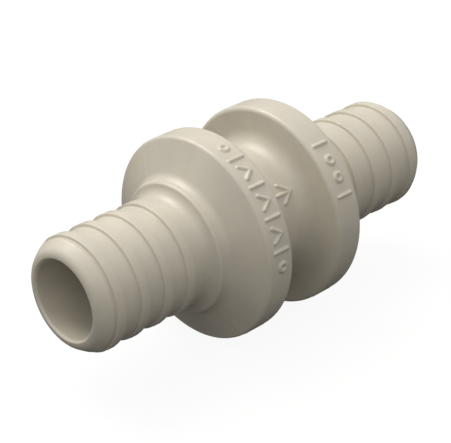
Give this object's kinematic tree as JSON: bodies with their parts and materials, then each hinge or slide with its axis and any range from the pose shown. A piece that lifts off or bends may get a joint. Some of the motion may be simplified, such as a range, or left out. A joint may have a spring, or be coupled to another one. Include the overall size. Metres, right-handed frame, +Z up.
{
  "type": "in-line check valve",
  "caption": "In-line spring-loaded check valve: a barbed straight coupling for small plastic pipe, with two flanges and a poppet cartridge inside.",
  "frame": {"origin": "on the valve's axis, midway between the two mouths", "axes": "+X along the axis in the flow direction, from the inlet barb to the outlet barb; +Z up; raised marks face -Y and +Z"},
  "size_m": [0.0474, 0.0222, 0.022],
  "materials": {
    "ppsu_bone": "semi-matte moulded PPSU",
    "pom_white": "smooth moulded POM",
    "epdm_black": "moulded EPDM",
    "stainless": "bright drawn stainless wire"
  },
  "bodies": {
    "housing": {"inlet_body": "ppsu_bone", "outlet_body": "ppsu_bone", "body_seal": "epdm_black", "valve_cage": "pom_white", "cage_seal": "epdm_black", "stem_guide": "pom_white", "retaining_ring": "stainless", "poppet_spring": "stainless"},
    "poppet": {"poppet": "pom_white", "poppet_seal": "epdm_black", "seal_retainer": "pom_white"}
  },
  "joints": [
    {"name": "poppet_slide", "type": "slide", "parent": "housing", "child": "poppet", "axis": [1, 0, 0], "range_m": [0, 0.0025], "stiffness_N_per_m": 190, "springref_m": -0.001, "deforming": ["poppet_spring"]}
  ]
}
